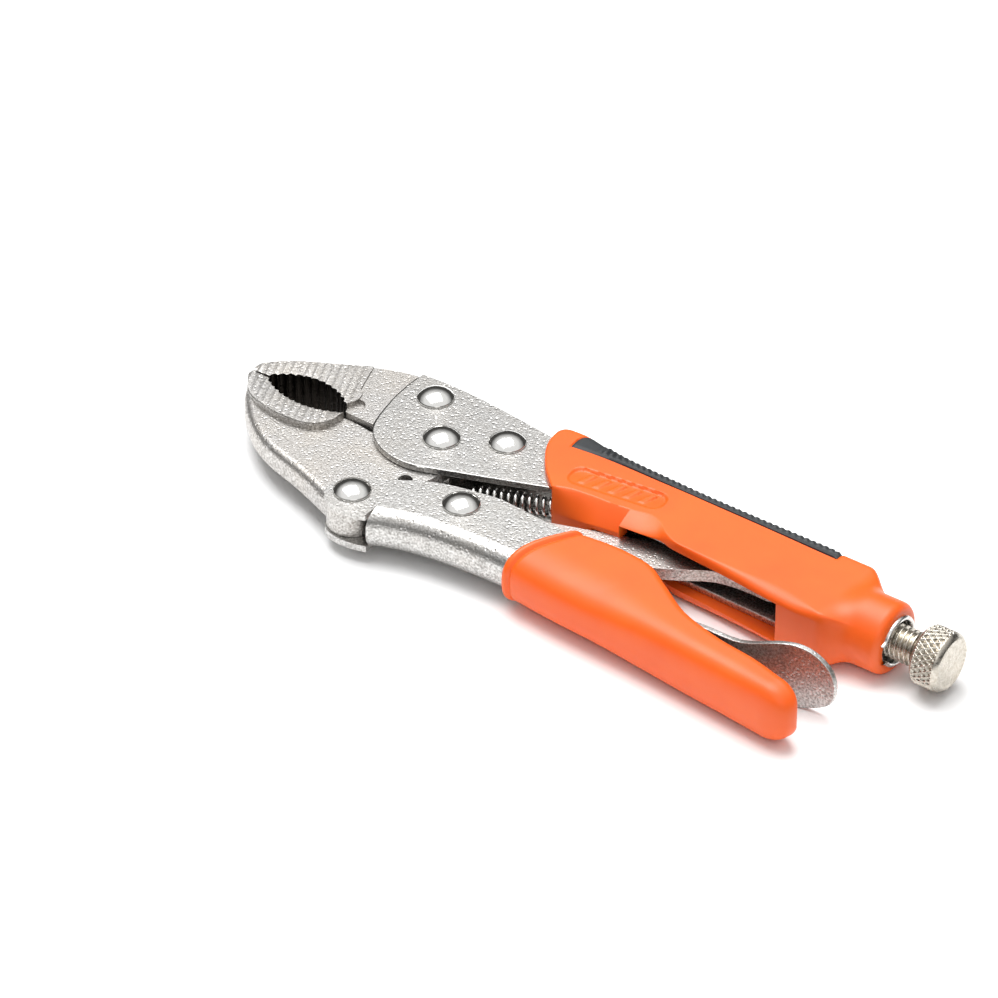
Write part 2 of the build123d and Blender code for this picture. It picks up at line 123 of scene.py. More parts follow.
def fan(ring):
    """Flat cap on a ring of points."""
    middle = ring.mean(axis=0, keepdims=True)
    index = np.arange(len(ring))
    centre = np.full(len(ring), len(ring))
    faces = np.stack([index, np.roll(index, -1), centre, centre], axis=1)
    return np.vstack([ring, middle]), faces


def shell(outer, inner, kept):
    """Wall between an outer and an inner grid where kept is true.

    A rim face stands along every edge of the kept cells."""
    rows, columns = outer.shape[:2]
    count = rows * columns
    top = quads(rows, columns)
    faces = [top[kept], top[kept] + count]
    index = np.arange(count).reshape(rows, columns)
    along = np.pad(kept, ((1, 1), (0, 0)))
    row_edge = along[1:] != along[:-1]
    a, b = index[:, :-1][row_edge], index[:, 1:][row_edge]
    faces.append(np.stack([a, b, b + count, a + count], axis=1))
    across = np.concatenate([kept[:, -1:], kept, kept[:, :1]], axis=1)
    column_edge = across[:, 1:] != across[:, :-1]
    a, b = index[:-1][column_edge], index[1:][column_edge]
    faces.append(np.stack([a, b, b + count, a + count], axis=1))
    return np.concatenate([outer.reshape(-1, 3), inner.reshape(-1, 3)]), np.concatenate(faces)


def lathe(profile, middle, axis, turns=96):
    """Profile of (distance along the axis, radius) carried round the axis."""
    profile = np.asarray(profile, float)
    angle = np.linspace(0, 2 * pi, turns + 1)
    grid = np.zeros((len(profile), turns + 1, 3))
    side = {"x": (1, 2, 0), "z": (0, 1, 2)}[axis]
    grid[..., side[0]] = profile[:, 1:] * np.cos(angle)
    grid[..., side[1]] = profile[:, 1:] * np.sin(angle)
    grid[..., side[2]] = profile[:, :1]
    return sheet(grid + np.asarray(middle, float))


# ---- pieces ----

def dress(piece, body, material, nodes):
    """Gives a finished piece its body and finish, and hides the CAD nodes it stands for."""
    piece.data.materials.clear()
    piece.data.materials.append(material)
    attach(piece, body)
    if nodes:
        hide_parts(*nodes)
    return piece


def piece_of(name, patches, body, material, nodes=(), crease=40.0):
    """One closed mesh from patches of points and faces in millimetres; points that meet are merged."""
    mesh = bpy.data.meshes.new(name)
    start = 0
    points, faces = [], []
    for patch_points, patch_faces in patches:
        points.append(patch_points)
        faces.append(patch_faces + start)
        start += len(patch_points)
    place = PIVOT + np.concatenate(points) / 1000
    fill(mesh, place, np.concatenate(faces))
    work = bmesh.new()
    work.from_mesh(mesh)
    bmesh.ops.remove_doubles(work, verts=work.verts, dist=2e-6)
    bmesh.ops.dissolve_degenerate(work, edges=work.edges, dist=1e-6)
    bmesh.ops.delete(work, geom=[v for v in work.verts if not v.link_faces], context="VERTS")
    bmesh.ops.recalc_face_normals(work, faces=work.faces)
    work.to_mesh(mesh)
    work.free()
    finish_mesh(mesh, crease)
    piece = bpy.data.objects.new(name, mesh)
    bpy.context.scene.collection.objects.link(piece)
    return dress(piece, body, material, nodes)


def fill(mesh, points, faces):
    """Puts whole arrays of points and four-cornered faces into a mesh."""
    mesh.vertices.add(len(points))
    mesh.vertices.foreach_set("co", np.ascontiguousarray(points, np.float32).ravel())
    mesh.loops.add(faces.size)
    mesh.loops.foreach_set("vertex_index", np.ascontiguousarray(faces, np.int32).ravel())
    mesh.polygons.add(len(faces))
    mesh.polygons.foreach_set("loop_start", np.arange(0, faces.size, 4, dtype=np.int32))
    mesh.update(calc_edges=True)
    mesh.validate()


def finish_mesh(mesh, crease):
    """Smooth shading, broken at edges sharper than the crease angle."""
    mesh.polygons.foreach_set("use_smooth", np.ones(len(mesh.polygons), bool))
    mesh.set_sharp_from_angle(angle=radians(crease))
    mesh.update()


MOUTH = (-34.0, -3.4)
STICK_OUT = 0.00005


def mark_mouth_shade(mesh):
    """Marks the standing walls of the jaw's mouth for painted shade: they are coloured dark to stand for the
    shade inside the mouth.
    """
    centre = np.empty(3 * len(mesh.polygons))
    normal = np.empty(3 * len(mesh.polygons))
    mesh.polygons.foreach_get("center", centre)
    mesh.polygons.foreach_get("normal", normal)
    centre = 1000 * (centre.reshape(-1, 3) - PIVOT)
    normal = normal.reshape(-1, 3)
    upright = np.abs(normal[:, 2]) < 0.5
    inward = (normal[:, :2] * (MOUTH - centre[:, :2])).sum(axis=1) > -0.6
    inside = (centre[:, 0] > -45.6) & (centre[:, 0] < -24.2) & (centre[:, 1] > -9.0)
    inside = inside & (centre[:, 1] < 2.2) & inward
    wall = mesh.attributes.new("painted_mouth_shade", "FLOAT", "FACE")
    wall.data.foreach_set("value", (upright & inside).astype(np.float32))


def rounded_copy(node, name, body, material, width, mouth=False):
    """Copy of a CAD node with its flat faces joined up and its sharp edges rounded over.

    The rounding width, in millimetres, is halved until nothing sticks out of the node's box."""
    mesh = bpy.data.meshes.new(name)
    work = bmesh.new()
    work.from_mesh(frame["nodes"][node].data)
    for layer in list(work.loops.layers.float_vector.values()):
        work.loops.layers.float_vector.remove(layer)
    bmesh.ops.remove_doubles(work, verts=work.verts, dist=2e-6)
    bmesh.ops.dissolve_degenerate(work, edges=work.edges, dist=3e-5)
    bmesh.ops.dissolve_limit(work, angle_limit=radians(0.8), verts=work.verts, edges=work.edges)
    work.to_mesh(mesh)
    work.free()
    if mesh.attributes.get("custom_normal"):
        mesh.attributes.remove(mesh.attributes["custom_normal"])
    # Jaw copies get the standing walls of their mouth marked for painted shade.
    if mouth:
        mark_mouth_shade(mesh)
    mesh.polygons.foreach_set("use_smooth", np.ones(len(mesh.polygons), bool))
    piece = bpy.data.objects.new(name, mesh)
    bpy.context.scene.collection.objects.link(piece)
    round_over = piece.modifiers.new("edge radius", "BEVEL")
    round_over.width = width / 1000
    round_over.segments = 3
    round_over.limit_method = "ANGLE"
    round_over.angle_limit = radians(32.0)
    round_over.use_clamp_overlap = False
    round_over.miter_outer = "MITER_ARC"
    round_over.harden_normals = False
    flat = piece.modifiers.new("flat faces stay flat", "WEIGHTED_NORMAL")
    flat.keep_sharp = True
    low, high = np.array(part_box(node))
    for attempt in range(4):
        bpy.context.view_layer.update()
        shape = piece.evaluated_get(bpy.context.evaluated_depsgraph_get()).to_mesh()
        place = np.empty(3 * len(shape.vertices))
        shape.vertices.foreach_get("co", place)
        place = place.reshape(-1, 3)
        low_side = place.min(axis=0) > low - STICK_OUT
        high_side = place.max(axis=0) < high + STICK_OUT
        if low_side.all() and high_side.all():
            break
        round_over.width /= 2
    return dress(piece, body, material, [node])


# ---- sleeve of the fixed handle ----

NOSE_Y = [-3.4, -2.4, -0.3, 2.0, 5.4, 9.2, 13.7, 16.6, 18.4]
NOSE_X = [31.7, 31.3, 29.2, 26.8, 24.0, 21.6, 20.3, 20.8, 23.4]
STRAIGHT = 50.0
STRAP_END = 38.7
SLOT_START = 50.0
SLOT_END = 92.5


def sleeve_rows():
    """Stations from nose to rear: close together at the nose roll, the window and the collar rim."""
    return np.concatenate([
        21.0 + np.array([0.0, 0.12, 0.26, 0.45, 0.7, 1.0]),
        np.linspace(22.3, 49.96, 92),
        np.linspace(50.0, 60.0, 40),
        np.linspace(60.4, 92.5, 112),
        np.linspace(93.0, 101.8, 20),
        np.linspace(102.2, 108.5, 20),
        np.linspace(109.0, 114.4, 8),
        116.6 - 2.0 * (1 - np.sin(np.linspace(0.1, pi / 2, 10))),
    ])


def sleeve_section(q):
    """Cross section at each station: a box with a sloping front corner and a round back corner.

    The lower side is at depth low, the top face starts at y = edge after a corner whose exponent runs from
    nearly a chamfer at the front to round behind, and the back corner is a quarter circle of 1.7 mm."""
    low = np.where(q < SLOT_START - 1e-6,
                   through([21, 25, 31, 38.7, 50], [-2.9, -3.1, -3.3, -3.5, -2.6], q),
                   through([50, 57, 60.3, 63.3, 67, 77, 82, 90, 97, 102, 117],
                           [-3.2, -2.6, -2.3, -3.1, -3.5, -4.3, -4.8, -5.7, -6.3, -6.3, -6.3], q))
    edge = through([21, 25, 29, 35, 46.5, 51, 54.9, 57.9, 60.8, 64, 69, 81, 91, 97, 102, 117],
                   [-2.2, -1.3, -0.5, 0.1, 0.7, 1.3, 2.1, 1.2, -1.1, -2.7, -3.0, -2.9, -2.6, -3.6, -5.0,
                    -5.2], q)
    edge = np.maximum(edge, low + 0.25)
    fall = np.where(q < SLOT_START - 1e-6,
                    through([21, 26, 32, 40, 50], [6.5, 6.0, 5.4, 4.5, 4.5], q), 1.95)
    power = through([21, 28, 56, 64, 117], [1.5, 1.3, 1.3, 1.7, 1.7], q)
    high = through([21, 25, 28, 36.4, 50, 102, 117], [18.3, 18.4, 18.0, 16.6, 15.8, 15.6, 15.6], q)
    strip = through([21, 24, 33, 50, 80, 92, 102, 117], [12.0, 12.2, 13.1, 13.3, 13.1, 12.8, 12.8, 12.8], q)
    back_r = 1.7
    strip = np.minimum(strip, high - back_r - 0.25)
    corner = np.linspace(0, pi / 2, 10)
    last = SLEEVE_HALF - fall
    lip = np.where(q >= SLOT_START - 1e-6, PLATE_OUT, 2.5 + 0.9 * (np.minimum(last, 5.2) - 2.5))
    lip = np.minimum(lip, last - 0.02)
    halfway = np.minimum(2.5, 0.6 * lip)
    parts_y, parts_z = [], []
    for z in (0 * q, halfway / 2, halfway, (halfway + lip) / 2, lip):
        parts_y.append(low[:, None])
        parts_z.append(z[:, None])
    c = np.cos(corner[None, :]) ** (2 / power[:, None])
    s = np.sin(corner[None, :]) ** (2 / power[:, None])
    parts_y.append(edge[:, None] - (edge - low)[:, None] * c)
    parts_z.append(last[:, None] + fall[:, None] * s)
    face = np.linspace(0, 1, 45)[None, 1:]
    parts_y.append(edge[:, None] + (strip - edge)[:, None] * face)
    parts_z.append(np.full((len(q), 44), SLEEVE_HALF))
    face = np.linspace(0, 1, 7)[None, 1:]
    parts_y.append(strip[:, None] + (high - back_r - strip)[:, None] * face)
    parts_z.append(np.full((len(q), 6), SLEEVE_HALF))
    turn = np.linspace(0, pi / 2, 9)[None, 1:]
    parts_y.append(high[:, None] - back_r + back_r * np.sin(turn))
    parts_z.append(SLEEVE_HALF - back_r + back_r * np.cos(turn) + 0 * q[:, None])
    down = np.linspace(1, 0, 9)[None, 1:]
    parts_y.append(high[:, None] + 0 * down)
    parts_z.append((SLEEVE_HALF - back_r) * down + 0 * q[:, None])
    y = np.concatenate(parts_y, axis=1)
    z = np.concatenate(parts_z, axis=1)
    return np.concatenate([y, y[:, -2::-1]], axis=1), np.concatenate([z, -z[:, -2::-1]], axis=1)


SLOT_COLUMN_INNER = 2
SLOT_COLUMN_OUTER = 4
STRIP_COLUMN = 5 + 10 + 44 - 1


def window_depth(x, y, z):
    """Depth of the shallow window in the upper face: a rounded oblong turned 7.5 degrees.

    It is deepest along its upper edge.

    Five plain slanting bars stand up from its floor."""
    turn = radians(7.5)
    a = (x - 43.2) * np.cos(turn) + (y - 5.7) * np.sin(turn)
    b = -(x - 43.2) * np.sin(turn) + (y - 5.7) * np.cos(turn)
    half = np.array([11.6, 3.2])
    corner = 2.6
    out_a = np.abs(a) - half[0] + corner
    out_b = np.abs(b) - half[1] + corner
    gap = np.hypot(np.maximum(out_a, 0), np.maximum(out_b, 0))
    gap = gap + np.minimum(np.maximum(out_a, out_b), 0) - corner
    depth = 0.62 * eased(0.12, -0.45, gap) * (0.3 + 0.7 * eased(-3.4, 2.4, b))
    wave = np.abs(((a - 0.35 * b + 9.25) / 3.7) % 1.0 - 0.5) * 3.7
    bars = eased(0.95, 0.6, wave) * eased(2.1, 1.75, np.abs(b + 0.1)) * eased(8.9, 8.6, np.abs(a))
    return np.where(z > SLEEVE_HALF - 0.3, depth * (1 - 0.7 * bars * eased(-0.3, -0.6, gap)), 0.0)


def sleeve_grids():
    """Outer and inner grids of the fixed sleeve, before its window and soft strip are cut.

    Stations lean forward at the nose and stand square behind it; past the end of the box the
    section runs over into the round collar; the collar's rim and the nose are rolled over."""
    q = sleeve_rows()
    y, z = sleeve_section(q)
    nose = through(NOSE_Y, NOSE_X, y.ravel()).reshape(y.shape)
    lean = np.clip((q - 21.0) / (STRAIGHT - 21.0), 0, 1)[:, None]
    x = np.where(q[:, None] < STRAIGHT, nose + (STRAIGHT - nose) * lean, q[:, None] + 0 * y)
    blend = eased(COLLAR_START - 1.0, COLLAR_FULL, q)[:, None]
    angle = np.arctan2(z, y - SCREW_Y)
    radius = COLLAR_R - rolled(COLLAR_END - q, 2.0)[:, None]
    y_out = (1 - blend) * y + blend * (SCREW_Y + radius * np.cos(angle))
    z_out = (1 - blend) * z + blend * radius * np.sin(angle)
    outer = np.stack([x, y_out, z_out], axis=-1)
    outer = outer - outward(outer) * rolled(x - nose, 0.7)[..., None] * (q[:, None, None] < 40.0)
    tube = eased(96.0, 100.0, q)[:, None]
    floor = through([21, 60, 66, 117], [-1.1, -1.1, -2.3, -2.3], q)[:, None]
    y_in = (1 - tube) * np.clip(y, floor, CHANNEL_TOP) + tube * (SCREW_Y + 5.82 * np.cos(angle))
    z_in = (1 - tube) * np.clip(z, -5.03, 5.03) + tube * 5.82 * np.sin(angle)
    inner = np.stack([np.where(q[:, None] < STRAIGHT, x, q[:, None]), y_in, z_in], axis=-1)
    return q, outer, inner


def strip_cells(q, columns):
    """Cells of the grid that the soft back strip fills, and those of the slot for strut and lever."""
    middle = (q[:-1] + q[1:]) / 2
    column = np.arange(columns - 1)
    column = np.minimum(column, columns - 2 - column)
    strip = ((middle > 26.6) & (middle < 95.5))[:, None] & (column >= STRIP_COLUMN)[None, :]
    near = ((middle > STRAP_END) & (middle < SLOT_START))[:, None] & (column < SLOT_COLUMN_INNER)[None, :]
    wide = ((middle > SLOT_START) & (middle < SLOT_END))[:, None] & (column < SLOT_COLUMN_OUTER)[None, :]
    return strip, near | wide


def edge_distance(grid, cells):
    """Distance of each point of the strip from the strip's own edge, along the grid's two ways."""
    lengths = np.linalg.norm(np.diff(grid, axis=1), axis=2)
    run = np.concatenate([np.zeros((len(grid), 1)), np.cumsum(lengths, axis=1)], axis=1)
    first = run[:, STRIP_COLUMN][:, None]
    last = run[:, grid.shape[1] - 1 - STRIP_COLUMN][:, None]
    across = np.minimum(run - first, last - run)
    rows = np.where(cells.any(axis=1))[0]
    x = grid[..., 0]
    along = np.minimum(x - x[rows[0]], x[rows[-1] + 1] - x)
    return across, along


def fixed_sleeve(material):
    """Hard sleeve of the fixed handle: outer skin less its window, rolled down beside the strip."""
    q, outer, inner = sleeve_grids()
    strip, slot = strip_cells(q, outer.shape[1])
    across, along = edge_distance(outer, strip)
    beside = np.maximum(-np.minimum(across, along), 0.0)
    depth = window_depth(outer[..., 0], outer[..., 1], outer[..., 2]) + rolled(beside, 0.35)
    skin = outer - outward(outer) * depth[..., None]
    return piece_of("cover_sleeve", [shell(skin, inner, ~(strip | slot))], "fixed_handle",
                    material, ["cover"])


def soft_strip(material):
    """Soft strip in the back of the sleeve: the sleeve's own surface with rolled edges.

    Small pads stand on its back and corners: humps 1.6 mm long, the root of a cosine, staggered
    from row to row."""
    q, outer, inner = sleeve_grids()
    strip, _ = strip_cells(q, outer.shape[1])
    across, along = edge_distance(outer, strip)
    inside = np.minimum(across, along)
    on_back = eased(13.7, 14.5, outer[..., 1]) * eased(0.5, 1.2, inside) * eased(31.5, 33.5, outer[..., 0])
    wide = np.round(outer[..., 2] / 2.4)
    pads = 0.5 - 0.5 * np.cos(2 * pi * (outer[..., 0] / 1.6 + 0.5 * (wide % 2)))
    height = 0.04 + on_back * (0.55 * np.sqrt(pads) - 0.12) - rolled(np.maximum(inside, 0), 0.25)
    skin = outer + outward(outer) * height[..., None]
    floor = outer - outward(outer) * 1.3
    return piece_of("back_strip_pads", [shell(skin, floor, strip)], "fixed_handle",
                    material, ["back_strip"])


# ---- sleeve of the moving handle ----

FRONT_BOW = 1.3
SPINE_POWER = 2.6
GRIP_T = [0, 0.15, 0.22, 0.32, 0.43, 0.56, 0.74, 0.88]
GRIP_BACK = [(37.2, -28.6), (50.0, -30.0), (56.0, -30.4), (64.0, -30.8), (73.0, -31.3), (84.5, -32.3),
             (97.5, -33.5), (106.6, -34.3)]
GRIP_MOUTH = [(45.1, -11.6), (57.5, -10.7), (64.0, -11.5), (70.5, -15.1), (79.0, -20.3), (89.0, -23.4),
              (101.0, -25.2), (108.6, -27.1)]


def grip_sleeve(material):
    """Moulded sleeve of the moving handle, a profile carried from its front edge to its closed tip.

    Each section is a superellipse of power 2.6 at the spine, then flat, with a quarter ellipse at
    the mouth; the tip shrinks it as a quarter superellipse. A bead 1.5 mm wide runs round the front
    edge with a groove behind it."""
    close = np.array([0, 0.0022, 0.0045, 0.0068, 0.009, 0.0115, 0.014, 0.0165, 0.019, 0.022, 0.025,
                      0.0285, 0.032, 0.036, 0.04])
    t = np.concatenate([close, np.linspace(0.047, 0.88, 120)])
    tip = np.linspace(0, pi / 2, 26)[1:]
    back = through(GRIP_T, GRIP_BACK, t)
    mouth = through(GRIP_T, GRIP_MOUTH, t)
    centre = (back + mouth) / 2
    half = (mouth - back) / 2
    aim = np.array([6.6, -0.9])
    centre = np.vstack([centre, centre[-1] + aim * np.sin(tip)[:, None]])
    half = np.vstack([half, half[-1] * np.cos(tip)[:, None] ** 0.8])
    thick = np.concatenate([np.full(len(t), SLEEVE_HALF), SLEEVE_HALF * np.cos(tip) ** 0.8])
    rows = len(centre)
    tall = np.linalg.norm(half, axis=1)
    spine_h = np.minimum(11.0, 1.15 * tall)
    lip_h = np.minimum(2.0, 0.6 * tall)
    lip_z = np.minimum(1.9, 0.27 * thick)
    turn = np.linspace(0, pi / 2, 28)
    h = [-tall[:, None] + spine_h[:, None] * (1 - np.cos(turn) ** (2 / SPINE_POWER))]
    z = [thick[:, None] * np.sin(turn) ** (2 / SPINE_POWER)]
    turn = np.linspace(0, pi / 2, 11)
    level = np.linspace(0, 1, 27)[None, 1:-1]
    h.append((-tall + spine_h)[:, None] * (1 - level) + (tall - lip_h)[:, None] * level)
    z.append(thick[:, None] + 0 * level)
    h.append(tall[:, None] - lip_h[:, None] * (1 - np.sin(turn)))
    z.append((thick - lip_z)[:, None] + lip_z[:, None] * np.cos(turn))
    for level in np.linspace(1, 0, 4)[1:]:
        h.append(tall[:, None])
        z.append((thick - lip_z)[:, None] * level)
    h = np.concatenate(h, axis=1)
    z = np.concatenate(z, axis=1)
    h = np.concatenate([h, h[:, -2::-1]], axis=1)
    z = np.concatenate([z, -z[:, -2::-1]], axis=1)
    unit = half / np.maximum(tall, 1e-6)[:, None]
    unit[len(t):] = unit[len(t) - 1]
    flat = centre[:, None, :] + unit[:, None, :] * h[..., None]
    lean = np.interp(t, [0.0, 0.12], [1.0, 0.0])
    lean = np.concatenate([lean, np.zeros(len(tip))])
    flat[..., 0] -= lean[:, None] * FRONT_BOW * (1 - (h / tall[:, None]) ** 2)
    outer = np.concatenate([flat, z[..., None]], axis=2)
    steps = np.linalg.norm(np.diff(centre, axis=0), axis=1)
    from_front = np.concatenate([[0.0], np.cumsum(steps)])[:, None]
    bead = 0.42 * np.exp(-((from_front - 0.95) / 0.75) ** 2)
    groove = 0.36 * np.exp(-((from_front - 2.1) / 0.38) ** 2)
    bead = bead - groove - rolled(from_front, 0.7)
    outer = outer + outward(outer) * bead[..., None]
    wall = np.minimum(2.0, 0.6 * thick)[:, None]
    inner_h = h * np.clip(1 - 1.7 / np.maximum(tall, 0.1), 0.2, 1.0)[:, None]
    inner_flat = centre[:, None, :] + unit[:, None, :] * inner_h[..., None]
    inner_flat[..., 0] -= lean[:, None] * FRONT_BOW * (1 - (h / tall[:, None]) ** 2)
    inner_z = z * (1 - wall / np.maximum(thick, 0.1)[:, None])
    inner = np.concatenate([inner_flat, inner_z[..., None]], axis=2)
    columns = outer.shape[1]
    column = np.arange(columns - 1)
    slot_column = np.abs(column - (columns - 1) / 2 + 0.5) < 3.0
    middle = (centre[:-1, 0] + centre[1:, 0]) / 2
    slot = (middle < 104.0)[:, None] & slot_column[None, :]
    closed_from = len(t) + len(tip) - 2
    inner[closed_from:] = inner[closed_from].mean(axis=0)
    inner[-1] = outer[-1].mean(axis=0) - np.array([1.0, 0, 0])
    outer[-1] = outer[-1].mean(axis=0)
    return piece_of("grip_sleeve", [shell(outer, inner, ~slot)], "moving_handle",
                    material, ["grip"])


# ---- screw, knob, rivets, spring ----

def around_screw(x, radius, angle):
    """Grid of points round the screw's axis, one ring at each place along it."""
    return np.stack([x[:, None] + 0 * radius, SCREW_Y + radius * np.cos(angle), radius * np.sin(angle)],
                    axis=-1)


def screw(material):
    """Adjusting rod: radius 3.95 mm less a V groove 0.68 mm deep.

    The groove climbs 1.25 mm a turn, right-handed."""
    nose = 91.4 + 2.4 * (1 - np.cos(np.linspace(0.05, pi / 2, 9)))
    x = np.concatenate([nose, np.arange(93.9, 122.6, 0.104), [122.7, 123.5]])
    angle = np.linspace(0, 2 * pi, 65)
    phase = (x[:, None] / 1.25 - angle[None, :] / (2 * pi)) % 1.0
    groove = 0.68 * np.clip(1.15 - np.abs(phase - 0.5) * 3.1, 0, 1)
    groove = groove * eased(93.9, 95.2, x)[:, None] * eased(122.9, 121.9, x)[:, None]
    neck = 0.75 * eased(121.9, 122.5, x)[:, None]
    radius = 3.95 - rolled(np.clip(x - 91.4, 0, None), 2.4)[:, None] - groove - neck
    grid = around_screw(x, radius, angle)
    caps = [fan(grid[0, :-1]), fan(grid[-1, :-1])]
    spigot = lathe([(123.0, 0.0), (123.0, 2.35), (127.5, 2.35), (127.5, 0.0)], (0, SCREW_Y, 0), "x", 48)
    return piece_of("screw_thread", [sheet(grid)] + caps + [spigot], "adjusting_rod",
                    material, ["adjusting_rod"], 50.0)


def knob(material):
    """Knurled knob: diamond pits 0.6 mm deep between two sets of 30 slanting ridges.

    The knurl fades at both chamfers."""
    x = np.concatenate([[KNOB_START], np.linspace(KNOB_START + 0.1, 124.1, 5),
                        np.arange(124.2, 129.0, 0.085), np.linspace(129.05, KNOB_END - 0.1, 9)])
    angle = np.linspace(0, 2 * pi, 409)
    one = (15 * angle[None, :] / pi + (x[:, None] - 126) / 2.3) % 1.0
    two = (15 * angle[None, :] / pi - (x[:, None] - 126) / 2.3) % 1.0
    pit = np.minimum(1 - np.abs(2 * one - 1), 1 - np.abs(2 * two - 1))
    cut = eased(124.0, 124.3, x)[:, None] * eased(129.1, 128.8, x)[:, None]
    front = np.clip((x - 129.0) / (KNOB_END - 129.0), 0, 1)
    base = KNOB_R - 0.65 * eased(124.2, KNOB_START, x) - 1.0 * front ** 1.6
    radius = base[:, None] - 0.62 * cut * np.clip(1.3 * pit - 0.15, 0, 1)
    grid = around_screw(x, radius, angle)
    ring = radius[-1, 0]
    face = lathe([(KNOB_END - 0.1, ring), (KNOB_END - 0.02, ring - 0.15), (KNOB_END, ring - 0.4),
                  (KNOB_END - 0.03, ring - 0.62), (KNOB_END - 0.14, ring - 0.8),
                  (KNOB_END - 0.16, ring - 1.2),
                  (KNOB_END - 0.16, 0.0)], (0, SCREW_Y, 0), "x", 408)
    rear = [(KNOB_START, radius[0, 0]), (KNOB_START, 3.2), (KNOB_START, 0.0)]
    back = lathe(rear, (0, SCREW_Y, 0), "x", 408)
    return piece_of("knob_knurled", [sheet(grid), face, back], "adjusting_knob",
                    material, ["adjusting_knob"], 55.0)


def rivet(name, node, at, body, material):
    """Rivet turned round its own axis: two domed heads 8.4 mm wide on a 0.6 mm rim, joined by the shank."""
    arc = np.linspace(0, 1, 14)
    dome = [(7.1 - 1.5 * s ** 2 * (0.72 + 0.28 * s ** 2), 4.08 * s) for s in arc]
    head = dome + [(5.52, 4.17), (5.42, 4.2), (5.1, 4.2), (5.0, 4.14), (4.98, 2.6)]
    profile = head + [(-a, r) for a, r in reversed(head)]
    turned_round = lathe(profile, (at[0], at[1], 0), "z")
    return piece_of(name, [turned_round], body, material, [node], 60.0)


def wire_spring(material):
    """Return spring: wire of 0.8 mm wound to 4.4 mm across in 18 turns.

    A leg reaches to the jaw's eye and a loop lies round the pin."""
    start = np.array([13.4, -6.7])
    end = np.array([40.4, 2.75])
    run = end - start
    length = np.hypot(*run)
    run = run / length
    side = np.array([-run[1], run[0]])
    turns = 18
    s = np.linspace(0, 1, turns * 20 + 1)
    grow = 1.8 * eased(0, 0.02, s) * eased(1.0, 0.98, s) + 0.02
    angle = 2 * pi * turns * s
    centre = start + run * (length * s)[:, None]
    coil = np.column_stack([centre + side * (grow * np.cos(angle))[:, None], grow * np.sin(angle)])
    leg = np.array([[1.9, -14.9, -2.4], [1.7, -14.6, -1.2], [1.6, -14.4, 0.0], [1.65, -14.2, 0.7],
                    [2.2, -13.1, 1.0], [3.0, -11.0, 0.8], [4.2, -8.9, 0.4], [5.6, -8.1, 0.1],
                    [8.5, -7.5, 0.0], [11.4, -6.95, 0.0]])
    loop_angle = np.linspace(-pi * 0.95, pi * 0.9, 22)
    heading = np.arctan2(run[1], run[0])
    loop = np.column_stack([44.0 + 1.7 * np.cos(loop_angle + heading),
                            4.0 + 1.7 * np.sin(loop_angle + heading), 0 * loop_angle])
    path = PIVOT + np.vstack([leg, coil, loop]) / 1000
    curve = bpy.data.curves.new("return_spring_wire", "CURVE")
    curve.dimensions = "3D"
    curve.bevel_depth = 0.0004
    curve.bevel_resolution = 3
    curve.use_fill_caps = True
    spline = curve.splines.new("POLY")
    spline.points.add(len(path) - 1)
    spline.points.foreach_set("co", np.column_stack([path, np.ones(len(path))]).astype(np.float32).ravel())
    wire = bpy.data.objects.new("return_spring_line", curve)
    bpy.context.scene.collection.objects.link(wire)
    bpy.context.view_layer.update()
    shape = wire.evaluated_get(bpy.context.evaluated_depsgraph_get())
    mesh = bpy.data.meshes.new_from_object(shape)
    bpy.data.objects.remove(wire)
    finish_mesh(mesh, 60.0)
    piece = bpy.data.objects.new("return_spring", mesh)
    bpy.context.scene.collection.objects.link(piece)
    piece.data.materials.clear()
    piece.data.materials.append(material)
    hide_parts("tension_spring")
    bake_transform(piece)
    return piece


# ---- hollow under the lower lip ----

LIP_EDGE = [(-23.5, -7.0), (-24.3, -10.0), (-27.0, -12.6), (-31.3, -13.6), (-37.4, -13.4),
            (-43.0, -11.7), (-47.4, -8.6), (-49.6, -5.6)]
JAW_HALF = 3.3


def lip_hollow(material):
    """Hollow between the lower lip's wall and the body of the jaw, on both faces.

    A quarter circle is carried along the lip's edge; its radius swells to 1.4 mm and dies out at
    both ends."""
    keys = np.concatenate([[0.0], np.cumsum(np.linalg.norm(np.diff(LIP_EDGE, axis=0), axis=1))])
    u = np.linspace(0, 1, 90)
    line = through(keys, LIP_EDGE, u * keys[-1])
    slope = np.gradient(line, axis=0)
    side = np.column_stack([-slope[:, 1], slope[:, 0]]) / np.linalg.norm(slope, axis=1)[:, None]
    radius = 0.05 + 1.35 * (eased(0.0, 0.12, u) * eased(0.92, 0.6, u))[:, None]
    turn = np.linspace(0, pi / 2, 9)[None, :]
    away = np.concatenate([0 * radius - 0.2, 0 * radius - 0.2, radius * (1 - np.cos(turn)), radius],
                          axis=1)
    rise = np.concatenate([0 * radius - 0.1, radius, radius * (1 - np.sin(turn)), 0 * radius - 0.1],
                          axis=1)
    away = np.concatenate([away, away[:, :1]], axis=1)
    rise = np.concatenate([rise, rise[:, :1]], axis=1)
    flat = line[:, None, :] - side[:, None, :] * away[..., None]
    patches = []
    for face in (1, -1):
        grid = np.concatenate([flat, face * (JAW_HALF + rise)[..., None]], axis=2)
        patches += [sheet(grid), fan(grid[0, :-1]), fan(grid[-1, :-1])]
    return piece_of("lower_lip_hollow", patches, "lower_jaw", material, (), 50.0)


